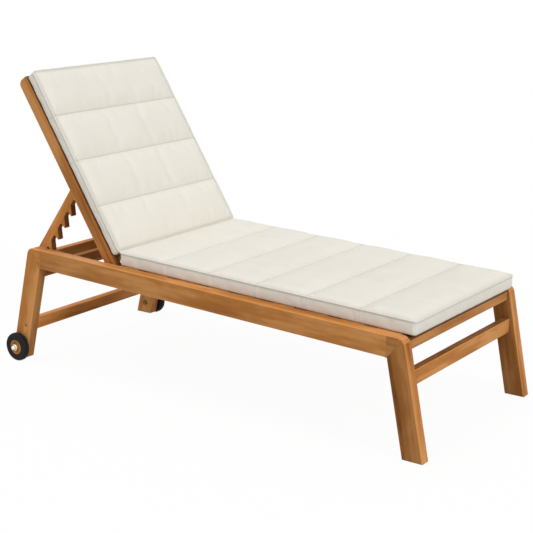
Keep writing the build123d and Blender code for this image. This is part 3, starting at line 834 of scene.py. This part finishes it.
@dataclass
class Cushion:
    """A boxed cushion with sewn channels, swelled by a cloth simulation, with piping and topstitching."""

    name: str
    node: str
    body: str
    place: Matrix
    turn: Triple
    length: float
    width: float
    height: float
    channels: int
    edge_seam: bool
    lift: float = 0.0003
    crown: float = 0.0095
    shoulder: float = 0.055
    corner: float = 0.012
    spacing: float = 0.0105
    side_rows: int = 6
    under: float = 0.003
    piping: float = 0.0022
    cap: float = 0.004
    seam_depth: float = 0.0018
    edge_depth: float = 0.0016
    rim_depth: float = 0.0022
    band_depth: float = 0.0009
    seam_fade: float = 0.008
    low_band: float = 0.2
    stitch_pitch: float = 0.0052
    stitch_length: float = 0.0036
    thread_radius: float = 0.0004
    seam_gather: float = 0.7
    rim_gather: float = 0.6
    band_gather: float = 1.4
    arch_power: float = 3.2
    shoulder_power: float = 2.4
    drawn_in: float = 0.3
    raw: np.ndarray = field(default_factory=lambda: np.zeros((0, 3)))
    grid: np.ndarray = field(default_factory=lambda: np.zeros((0, 3)))
    outward: np.ndarray = field(default_factory=lambda: np.zeros((0, 2)))
    across: int = 0
    along: int = 0

    def blank(self) -> Mesh:
        """Makes the box of panels, with a row of points on each seam, and keeps where each point lies on it.

        Returns:
            The mesh, in the cushion's own frame.
        """
        self.along = max(6, round(self.length / self.channels / self.spacing)) * self.channels
        self.across = 2 * round(self.width / self.spacing / 2)
        shape = bmesh.new()
        bmesh.ops.create_grid(shape, x_segments=self.along, y_segments=self.across, size=1.0)
        copied = bmesh.ops.duplicate(shape, geom=shape.verts[:] + shape.edges[:] + shape.faces[:])["geom"]
        lower = {part for part in copied if isinstance(part, bmesh.types.BMVert)}
        under_side = [part for part in copied if isinstance(part, bmesh.types.BMFace)]
        bmesh.ops.reverse_faces(shape, faces=under_side)
        upper = [vertex for vertex in shape.verts if vertex not in lower]
        bmesh.ops.translate(shape, verts=upper, vec=(0, 0, 1))
        rim = [edge for edge in shape.edges if edge.is_boundary]
        bmesh.ops.bridge_loops(shape, edges=rim)
        posts = [edge for edge in shape.edges if abs(edge.verts[0].co.z - edge.verts[1].co.z) > 0.5]
        bmesh.ops.subdivide_edges(shape, edges=posts, cuts=self.side_rows - 1, use_grid_fill=True)
        bmesh.ops.recalc_face_normals(shape, faces=shape.faces)
        mesh = mesh_from(self.name, shape)
        self.raw = read_points(mesh)
        self.grid = self.gathered()
        write_points(mesh, self.formed())
        return mesh

    def gathered(self) -> np.ndarray:
        """Gathers the panels' rows of points towards the seams and the rim, where the cloth turns sharply.

        Returns:
            The points on the panels, from -1 to 1 along and across and from 0 to 1 up the band.
        """
        u, v, w = self.raw.T
        run = (u + 1) / 2 * self.channels
        whole = np.clip(np.floor(run + 1e-6), 0, self.channels - 1)
        part = run - whole
        part = part - self.seam_gather * np.sin(math.tau * part) / math.tau
        along = (whole + part) / self.channels * 2 - 1
        across = v + self.rim_gather * np.sin(math.pi * v) / math.pi
        return np.stack([along, across, np.clip(w, 0, 1) ** self.band_gather], 1)

    def rows_in(self) -> np.ndarray:
        """Counts each point's rows of points from the rim, with the rim itself as 0."""
        ends = np.round((1 - np.abs(self.raw[:, 0])) * self.along / 2)
        sides = np.round((1 - np.abs(self.raw[:, 1])) * self.across / 2)
        return np.minimum(ends, sides)

    def seam_share(self) -> np.ndarray:
        """Gives each point's distance to the nearest cross seam, in channels, with the ends left out."""
        run = (self.grid[:, 0] + 1) / 2 * self.channels
        nearest = np.clip(np.round(run), 1, self.channels - 1)
        return np.abs(run - nearest)

    def formed(self) -> np.ndarray:
        """Lays the box's points out at the cushion's size, with puffed channels and a tucked-in base.

        Returns:
            The points, in metres.
        """
        u, v, w = self.grid.T
        half = np.array([self.length / 2, self.width / 2])
        plan = np.stack([u, v], 1) * half
        inner = half - self.corner
        over = np.maximum(np.abs(plan) - inner, 0)
        both = (over[:, 0] > 0) & (over[:, 1] > 0)
        reach = np.maximum(np.hypot(over[:, 0], over[:, 1]), 1e-9)
        scale = np.where(both, np.max(over, 1) / reach, 1.0)
        plan = np.where(both[:, None], np.sign(plan) * (inner + over * scale[:, None]), plan)
        lean = np.where(both[:, None], over, over + 1e-9 * (np.abs(self.raw[:, :2]) > ON_RIM))
        self.outward = np.sign(plan) * lean / np.maximum(np.hypot(lean[:, 0], lean[:, 1]), 1e-12)[:, None]
        drawn = self.under * np.maximum(0, 1 - w / self.drawn_in) ** 2
        on_band = (w > BASE_END) & (w < TOP_START)
        plan = np.where((w < BASE_END)[:, None], plan * (1 - self.under / half), plan)
        plan = np.where(on_band[:, None], plan - self.outward * drawn[:, None], plan)
        arch = 1 - (1 - np.minimum(self.seam_share() * 2, 1)) ** self.arch_power
        end, side = (
            1 - (1 - np.minimum(1, (1 - np.abs(run)) * extent / self.shoulder)) ** self.shoulder_power
            for run, extent in zip((u, v), half)
        )
        top = self.height + self.crown * side * end * (0.05 + 0.95 * arch)
        z = np.where(w > TOP_START, top, w * self.height)
        return np.stack([plan[:, 0] + half[0], plan[:, 1], z], 1)

    def held(self) -> dict[str, np.ndarray]:
        """Names the points that the seams and the flat base hold.

        Returns:
            Masks for the base, the upper rim, the cross seams, the topstitched edge and the band's seams.
        """
        u, v, w = self.raw.T
        rim = (np.abs(u) > ON_RIM) | (np.abs(v) > ON_RIM)
        seam = self.seam_share() < ON_SEAM
        rows = self.rows_in()
        upright = seam | ((np.abs(u) > ON_RIM) & (np.abs(v) > ON_RIM))
        return {
            "base": w < BASE_END,
            "rim": rim & (w > TOP_START),
            "seams": seam & (w > TOP_START) & (rows >= (EDGE_SEAM_ROW if self.edge_seam else 0)),
            "edge": (rows == EDGE_SEAM_ROW) & (w > TOP_START) & self.edge_seam,
            "band": upright & rim & (w > BASE_END) & (w < TOP_START),
        }

    def swell(self, mesh: Mesh) -> None:
        """Blows the cover up between its seams with the cloth solver, and caps how far it goes.

        Args:
            mesh: the box of panels, which takes the result.
        """
        start = read_points(mesh)
        held = self.held()
        piece = bpy.data.objects.new(self.name + "_cloth", mesh)
        bpy.context.scene.collection.objects.link(piece)
        group = piece.vertex_groups.new(name="held")
        for part in ("base", "rim", "seams", "edge"):
            group.add([int(index) for index in np.flatnonzero(held[part])], 1.0, "REPLACE")
        cloth = piece.modifiers.new("swell", "CLOTH")
        for setting, value in CLOTH_SETTINGS.items():
            setattr(cloth.settings, setting, value)
        cloth.settings.effector_weights.gravity = 0
        cloth.collision_settings.use_collision = False
        cloth.point_cache.frame_start = 1
        cloth.point_cache.frame_end = CLOTH_FRAMES
        for step in range(1, CLOTH_FRAMES + 1):
            bpy.context.scene.frame_set(step)
        solved = piece.evaluated_get(bpy.context.evaluated_depsgraph_get())
        moved = read_points(solved.to_mesh()) - start
        solved.to_mesh_clear()
        bpy.context.scene.frame_set(1)
        reach = np.linalg.norm(moved, axis=1)
        moved *= np.minimum(1, self.cap / np.maximum(reach, 1e-9))[:, None]
        bpy.data.objects.remove(piece)
        write_points(mesh, start + moved)

    def tuck(self, mesh: Mesh) -> None:
        """Draws the sewn seams in after the swelling, and marks the painted shade at the seams, the piping and
        the base.

        Args:
            mesh: the swollen mesh.
        """
        points = read_points(mesh)
        held = self.held()
        fade = 1 - np.abs(self.raw[:, 1]) ** 8
        rows = self.rows_in()
        height = self.raw[:, 2]
        panel = height > TOP_START
        points[:, 2] -= np.where(held["seams"], self.seam_depth * fade, 0)
        points[:, 2] -= np.where(held["edge"], self.edge_depth, 0)
        points[:, 2] -= np.where(panel & (rows == 1), self.rim_depth, 0)
        pull = np.where(held["band"], self.band_depth * np.sin(math.pi * height), 0)
        points[:, :2] -= self.outward * pull[:, None]
        points[:, 2] = np.maximum(points[:, 2], 0)
        write_points(mesh, points)
        near = np.exp(-self.seam_share() * self.length / self.channels / self.seam_fade)
        shade = NEAR_SEAM_SHADE * near * panel * (rows > 1)
        for part, depth in PART_SHADES.items():
            shade += depth * held[part]
        for row, depth in ROW_SHADES.items():
            shade += depth * (panel & (rows == row))
        # Painted shadow: the base's rim and the foot of the band are darkened for the gap where the cushion
        # meets the timber.
        shade += held["base"] & (rows == 0)
        shade += LOW_BAND_SHADE * ((height > BASE_END) & (height < self.low_band))
        painted_shade = mesh.attributes.new("seam_shade", "FLOAT", "POINT")
        painted_shade.data.foreach_set("value", np.minimum(shade, 1).astype(np.float32))

    def rim_path(self, points: np.ndarray, row: int) -> np.ndarray:
        """Reads the closed line of points that runs round the top panel.

        Args:
            points: the mesh's points.
            row: how many rows the line lies in from the rim.

        Returns:
            The indices of its points, in order round the cushion.
        """
        index = np.flatnonzero((self.rows_in() == row) & (self.raw[:, 2] > TOP_START))
        reach = points[index] - points[index].mean(0)
        return index[np.argsort(np.arctan2(reach[:, 1] / self.width, reach[:, 0] / self.length))]

    def tube(self, label: str, path: np.ndarray, radius: float, material: Material) -> Piece:
        """Makes a closed round trim along a path in the cushion's frame.

        Args:
            label: the piece's name.
            path: its points.
            radius: the trim's radius.
            material: its material.

        Returns:
            The trim's object.
        """
        curve = bpy.data.curves.new(label, "CURVE")
        curve.dimensions = "3D"
        curve.bevel_depth = radius
        curve.bevel_resolution = 2
        spline = curve.splines.new("POLY")
        spline.points.add(len(path) - 1)
        for point, spot in zip(spline.points, path):
            point.co = (*spot, 1.0)
        spline.use_cyclic_u = True
        holder = bpy.data.objects.new(label, curve)
        mesh = bpy.data.meshes.new_from_object(holder)
        bpy.data.objects.remove(holder)
        mesh.transform(self.place)
        mesh.shade_smooth()
        return new_object(label, mesh, material)

    def stitch_runs(self, points: np.ndarray) -> list[np.ndarray]:
        """Lists the lines that are topstitched.

        Args:
            points: the finished cover's points at the box's own points.

        Returns:
            Each line's points in order.
        """
        held = self.held()["seams"]
        run = np.round((self.grid[:, 0] + 1) / 2 * self.channels)
        lines = []
        for number in range(1, self.channels):
            index = np.flatnonzero(held & (run == number) & (np.abs(self.raw[:, 1]) < ON_RIM))
            lines.append(points[index[np.argsort(points[index, 1])]])
        if self.edge_seam:
            loop = self.rim_path(points, EDGE_SEAM_ROW)
            lines.append(points[np.append(loop, loop[0])])
        return lines

    def stitches(self, points: np.ndarray, material: Material) -> Piece:
        """Lays a run of stitches in each seam.

        Args:
            points: the finished cover's points at the box's own points.
            material: the thread's material.

        Returns:
            The stitches' object.
        """
        pitch, radius = self.stitch_pitch, self.thread_radius
        shape = bmesh.new()
        for line in self.stitch_runs(points):
            steps = np.linalg.norm(np.diff(line, axis=0), axis=1)
            travel = np.append(0, np.cumsum(steps))
            stops = np.arange(pitch, travel[-1] - pitch / 2, pitch)
            spots, ahead = (
                np.stack([np.interp(stops + onward, travel, line[:, axis]) for axis in range(3)], 1)
                for onward in (0.0, pitch / 2)
            )
            for spot, way in zip(spots, ahead - spots):
                lie = Vector(way).to_track_quat("Z", "X").to_matrix().to_4x4()
                place = Matrix.Translation((spot[0], spot[1], spot[2] + radius * 0.6)) @ lie
                made = bmesh.ops.create_cone(
                    shape, cap_ends=True, segments=6, radius1=radius, radius2=radius,
                    depth=self.stitch_length, matrix=place,
                )["verts"]
                around = dict.fromkeys(face for vertex in made for face in vertex.link_faces)
                ends = [face for face in around if len(face.verts) == 6]
                bmesh.ops.inset_region(shape, faces=ends, thickness=radius * 0.45, depth=radius * 0.5)
        mesh = mesh_from(self.name + "_stitches", shape)
        mesh.transform(self.place)
        mesh.shade_smooth()
        return new_object(self.name + "_stitches", mesh, material)

    def cover(self, mesh: Mesh) -> tuple[Piece, np.ndarray]:
        """Softens the swollen box and lays it in its place.

        Args:
            mesh: the swollen and tucked mesh.

        Returns:
            The cover, and its points at the box's own points in the cushion's frame.
        """
        count = len(mesh.vertices)
        cover = new_object(self.name, mesh, ClothFinish(self.name + "_cloth", self.turn).material())
        smooth = cover.modifiers.new("soften", "SUBSURF")
        smooth.levels = smooth.render_levels = 1
        softer = cover.evaluated_get(bpy.context.evaluated_depsgraph_get())
        fine = bpy.data.meshes.new_from_object(softer)
        cover.modifiers.clear()
        cover.data = fine
        fine.name = self.name
        softened = read_points(fine)
        softened[:, 2] += self.lift
        write_points(fine, softened)
        fine.transform(self.place)
        fine.shade_smooth()
        return cover, softened[:count]

    def dress(self) -> list[Piece]:
        """Makes the cushion, its piping and its stitches.

        Returns:
            The pieces.
        """
        mesh = self.blank()
        self.swell(mesh)
        self.tuck(mesh)
        cover, spots = self.cover(mesh)
        trim = ClothFinish(
            self.name + "_piping_cloth", self.turn, (0.82, 0.79, 0.72), (0.74, 0.7, 0.625),
        ).material()
        rim = self.rim_path(spots, 0)
        lean = np.append(self.outward[rim], np.full((len(rim), 1), 0.9), 1)
        raised = spots[rim] + lean * self.piping * 0.3
        piping = self.tube(f"{self.name}_piping", raised, self.piping, trim)
        pieces = [cover, piping, self.stitches(spots, trim)]
        for piece in pieces:
            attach(piece, self.body)
        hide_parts(self.node)
        return pieces


@dataclass
class Wheels:
    """The tyres, the turned hubs and the domed cap nuts, spun round the axle."""

    radius: float = 0.055
    bore: float = 0.031
    bush: float = 0.008
    hub_face: float = 0.011
    nut_face: float = 0.0153
    nut_bore: float = 0.0051
    nut_dome: float = 0.0078
    nut_hexagon: float = 0.0098
    nut_height: float = 0.0064
    steps: int = 72
    smooth_angle: float = 40.0
    nut_angle: float = 30.0

    def spun(self, name: str, profile: list[tuple[float, float]], side: float, material: Material) -> Piece:
        """Spins a closed profile round the axle.

        Args:
            name: the piece's name.
            profile: points as distance from the axle and distance outwards along it from the tyre's middle.
            side: -1 for the right wheel and 1 for the left.
            material: the ring's material.

        Returns:
            The ring's object.
        """
        centre = self.centre(side)
        shape = bmesh.new()
        places = [(0, centre.y + side * out, centre.z + reach) for reach, out in profile]
        vertices = [shape.verts.new(place) for place in places]
        for first, second in zip(vertices, vertices[1:] + vertices[:1]):
            if max(first.co.z, second.co.z) - centre.z > SAME_PLACE:
                shape.edges.new((first, second))
        bmesh.ops.spin(
            shape, geom=shape.verts[:] + shape.edges[:], cent=(0, centre.y, centre.z), axis=(0, 1, 0),
            angle=math.tau, steps=self.steps, use_merge=True,
        )
        bmesh.ops.translate(shape, verts=shape.verts, vec=(centre.x, 0, 0))
        bmesh.ops.remove_doubles(shape, verts=shape.verts, dist=SAME_PLACE)
        bmesh.ops.recalc_face_normals(shape, faces=shape.faces)
        mesh = mesh_from(name, shape)
        shade_by_angle(mesh, self.smooth_angle)
        return new_object(name, mesh, material)

    @staticmethod
    def centre(side: float) -> Vector:
        """Gives the middle of a wheel, -1 for the right one and 1 for the left."""
        low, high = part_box(f"tyre_{'right' if side < 0 else 'left'}")
        return (Vector(low) + Vector(high)) / 2

    def tyre_profile(self) -> list[tuple[float, float]]:
        """Gives the tyre's section, with rounded shoulders, two tread grooves and a lip over the hub."""
        profile = [(self.bore, 0.0111), (self.bore - 0.0022, 0.0112), (self.bore - 0.0022, 0.0119),
                   (self.bore - 0.0008, 0.0124), (self.bore + 0.0045, 0.0124), (self.bore + 0.0056, 0.0117),
                   (self.bore + 0.0085, 0.0127), (self.bore + 0.0115, 0.013)]
        for step in range(7):
            angle = math.radians(15 * step)
            profile.append((self.radius - 0.009 + 0.0088 * math.sin(angle), 0.004 + 0.009 * math.cos(angle)))
        profile += [(self.radius, 0.0046), (self.radius - 0.0011, 0.0039), (self.radius - 0.0011, 0.0031),
                    (self.radius, 0.0024)]
        return profile + [(reach, -out) for reach, out in reversed(profile)]

    def hub_profile(self) -> list[tuple[float, float]]:
        """Gives the turned hub's section: a rim, a cove and a raised boss round the bush."""
        face = self.hub_face
        profile = [(self.bush, face + 0.0032), (0.0116, face + 0.0032), (0.0126, face + 0.0024),
                   (0.0132, face - 0.004), (0.0145, face - 0.005), (0.0182, face - 0.005),
                   (0.0192, face - 0.0038), (0.0198, face - 0.0004), (0.0212, face),
                   (self.bore - 0.0002, face)]
        return profile + [(reach, -out) for reach, out in reversed(profile)]

    def cap_nuts(self, material: Material) -> Piece:
        """Makes both domed cap nuts, each a flange, a hexagon and a dome.

        Args:
            material: their metal.

        Returns:
            The nuts' object.
        """
        halves = []
        for side in (-1.0, 1.0):
            face = self.nut_face
            profile = [(self.nut_bore, face), (0.0118, face), (0.0124, face + 0.0007),
                       (0.012, face + 0.0017), (0.0094, face + 0.0022), (self.nut_dome, face + 0.0079)]
            for step in range(1, 7):
                angle = math.radians(15 * step)
                profile.append((
                    self.nut_dome * math.cos(angle), face + 0.0079 + 0.0068 * math.sin(angle),
                ))
            profile += [(0.0, face + 0.0081), (self.nut_bore, face + 0.0081)]
            label = "right" if side < 0 else "left"
            halves.append(self.spun(f"cap_nut_{label}_turning", profile, side, material))
        shape = bmesh.new()
        for half in halves:
            shape.from_mesh(half.data)
        for side in (-1.0, 1.0):
            turn = Matrix.Rotation(math.pi / 2, 4, "X") @ Matrix.Rotation(math.radians(30), 4, "Z")
            middle = self.centre(side) + Vector((0, side * (self.nut_face + 0.0045), 0))
            made = bmesh.ops.create_cone(
                shape, cap_ends=True, segments=6, radius1=self.nut_hexagon, radius2=self.nut_hexagon,
                depth=self.nut_height, matrix=Matrix.Translation(middle) @ turn,
            )["verts"]
            edges = list(dict.fromkeys(edge for vertex in made for edge in vertex.link_edges))
            bmesh.ops.bevel(
                shape, geom=edges, offset=0.0005, affect="EDGES", segments=2, profile=0.5, material=-1,
            )
        mesh = mesh_from("cap_nuts_domed", shape)
        shade_by_angle(mesh, self.nut_angle)
        for half in halves:
            bpy.data.objects.remove(half)
        return new_object("cap_nuts_domed", mesh, material)

    def dress(self) -> list[Piece]:
        """Makes the tyres, hubs and cap nuts.

        Returns:
            The new pieces.
        """
        rubber = MouldedFinish(
            "tyre_rubber", (0.009, 0.009, 0.0095), (0.022, 0.0215, 0.021), gloss=0.16,
        ).material()
        timber = TimberFinish("hub_timber", GrainRun.TURNED, 41.3, 0.96, end=0.1).material()
        steel = MetalFinish("nut_steel", (0.86, 0.83, 0.77), (0.7, 0.67, 0.61), 0.3).material()
        pieces = []
        for side, label in ((-1.0, "right"), (1.0, "left")):
            tyre = self.spun(f"tyre_{label}_tread", self.tyre_profile(), side, rubber)
            hub = self.spun(f"wheel_hub_{label}_turned", self.hub_profile(), side, timber)
            for piece, node, slot in (
                (tyre, f"tyre_{label}", "black_tyre"), (hub, f"wheel_hub_{label}", "turned_wood"),
            ):
                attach(piece, f"wheel_{label}")
                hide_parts(node)
                pieces.append(piece)
        nuts = self.cap_nuts(steel)
        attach(nuts, "frame")
        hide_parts("cap_nuts")
        return pieces + [nuts]


@dataclass
class Hardware:
    """The small pieces that stay as the solids give them, each with its finish."""

    steel: MetalFinish = MetalFinish("stainless_steel", (0.6, 0.58, 0.54), (0.46, 0.44, 0.41))
    brass: MetalFinish = MetalFinish("insert_brass", (0.62, 0.45, 0.2), (0.5, 0.35, 0.15), 0.3)
    nylon: MouldedFinish = MouldedFinish("nylon_bush", (0.62, 0.6, 0.54), (0.5, 0.48, 0.43), 0.45)
    bronze: MetalFinish = MetalFinish("dark_bronze", (0.13, 0.075, 0.04), (0.2, 0.13, 0.08), 0.45)
    plug: TimberFinish = TimberFinish("plug_timber", GrainRun.CROSS, 44.0, 0.85, end=0.25)

    def dress(self) -> None:
        """Assigns the finishes."""
        for finish, nodes in (
            (self.steel, ("stretcher_screws", "recline_bolts", "recline_washers", "prop_bolts",
                          "prop_washers", "axle_washers")),
            (self.bronze, ("axle_bolts",)),
            (self.brass, ("recline_inserts", "prop_inserts")),
            (self.nylon, ("recline_bushes", "wheel_bush_right", "wheel_bush_left")),
            (self.plug, ("corner_tenons", "stretcher_plugs")),
        ):
            material = finish.material()
            for name in nodes:
                materials = frame["nodes"][name].data.materials
                materials.clear()
                materials.append(material)


@dataclass
class Studio:
    """A pale floor, soft light and the camera at the photograph's angle."""

    camera_place: Triple = (2.6413, -3.5114, 1.5591)
    yaw: float = math.radians(126.4655)
    pitch: float = math.radians(14.601)
    roll: float = math.radians(-0.5361)
    focal_pixels: float = 1245.763
    picture_pixels: float = 533.0
    sensor: float = 36.0
    ambient: float = 0.54
    glow: float = 1.035
    glow_share: float = 0.92
    floor_radius: float = 14.0
    floor_tone: Triple = (0.55, 0.54, 0.53)
    floor_roughness: float = 0.9

    def camera(self) -> None:
        """Makes the camera."""
        level_share = math.cos(self.pitch)
        ahead = Vector((
            level_share * math.cos(self.yaw), level_share * math.sin(self.yaw), -math.sin(self.pitch),
        ))
        level = Vector((math.sin(self.yaw), -math.cos(self.yaw), 0))
        above = level.cross(ahead)
        right = level * math.cos(self.roll) + above * math.sin(self.roll)
        up = above * math.cos(self.roll) - level * math.sin(self.roll)
        data = bpy.data.cameras.new("camera")
        data.sensor_width = self.sensor
        data.lens = self.focal_pixels * self.sensor / self.picture_pixels
        data.clip_end = 100.0
        holder = bpy.data.objects.new("camera", data)
        turn = Matrix((right, up, -ahead)).transposed().to_4x4()
        holder.matrix_world = Matrix.Translation(Vector(self.camera_place)) @ turn
        bpy.context.scene.collection.objects.link(holder)
        bpy.context.scene.camera = holder

    def lamp(self, name: str, direction: Triple, power: float, spread: float) -> None:
        """Makes a soft sun lamp.

        Args:
            name: the lamp's name.
            direction: where its light comes from.
            power: its strength.
            spread: its angle in degrees.
        """
        data = bpy.data.lights.new(name, "SUN")
        data.energy = power
        data.angle = math.radians(spread)
        data.color = SUN_TINT
        holder = bpy.data.objects.new(name, data)
        holder.rotation_mode = "QUATERNION"
        holder.rotation_quaternion = Vector(direction).to_track_quat("Z", "Y")
        bpy.context.scene.collection.objects.link(holder)

    def world(self) -> None:
        """Makes the surroundings: white where the camera or a mirror looks, softer as light."""
        world = bpy.data.worlds.new("studio")
        world.use_nodes = True
        graph = Graph(world.node_tree)
        background = world.node_tree.nodes["Background"]
        shown = graph.times(seen_directly(graph), 1.0 - self.ambient)
        graph.fill(background, {"Color": WHITE, "Strength": graph.plus(shown, self.ambient)})
        bpy.context.scene.world = world

    def floor(self) -> None:
        """Makes the floor, white to the camera but for a soft shadow."""
        shape = bmesh.new()
        bmesh.ops.create_circle(shape, cap_ends=True, segments=96, radius=self.floor_radius)
        mesh = mesh_from("floor", shape)
        material, graph, shader = new_material("pale_floor")
        graph.fill(shader, {"Base Color": self.floor_tone, "Roughness": self.floor_roughness})
        glow = graph.add("Emission", {"Color": WHITE, "Strength": self.glow})
        share = graph.times(seen_directly(graph), self.glow_share)
        mixed = graph.add("MixShader", {0: share, 1: shader.outputs[0], 2: glow.outputs[0]})
        graph.feed(material.node_tree.nodes["Material Output"].inputs["Surface"], mixed.outputs[0])
        new_object("floor", mesh, material)

    def build(self) -> None:
        """Makes the whole studio."""
        self.camera()
        self.world()
        self.floor()
        self.lamp("overhead", (-0.25, -0.08, 1.0), 0.85, 20.0)
        self.lamp("foot_side", (0.9, -0.2, 0.42), 1.1, 22.0)
        self.lamp("near_side", (0.12, -1.0, 0.45), 0.32, 30.0)
        bpy.context.scene.view_settings.view_transform = "Standard"


def main() -> None:
    """Builds the studio and every piece of the lounger."""
    logging.basicConfig(level=logging.INFO, format="%(message)s")
    Studio().build()
    seat = Cushion(
        name="seat_cushion_cover", node="seat_cushion", body="frame",
        place=rail_matrix() @ Matrix.Translation(SEAT_START), turn=GrainRun.RAIL.value,
        length=1.21948, width=CUSHION_WIDTH, height=0.048, channels=6, edge_seam=False,
    )
    back = Cushion(
        name="back_cushion_cover", node="back_cushion", body="backrest",
        place=back_matrix() @ Matrix.Translation(BACK_START), turn=GrainRun.BACK.value,
        length=0.738, width=CUSHION_WIDTH, height=0.042, channels=4, edge_seam=True, under=0.011,
    )
    pieces = Timber().dress() + seat.dress() + back.dress() + Wheels().dress()
    Hardware().dress()
    for piece in pieces:
        LOG.info("%s: %d faces", piece.name, len(piece.data.polygons))


if __name__ == "__main__":
    main()
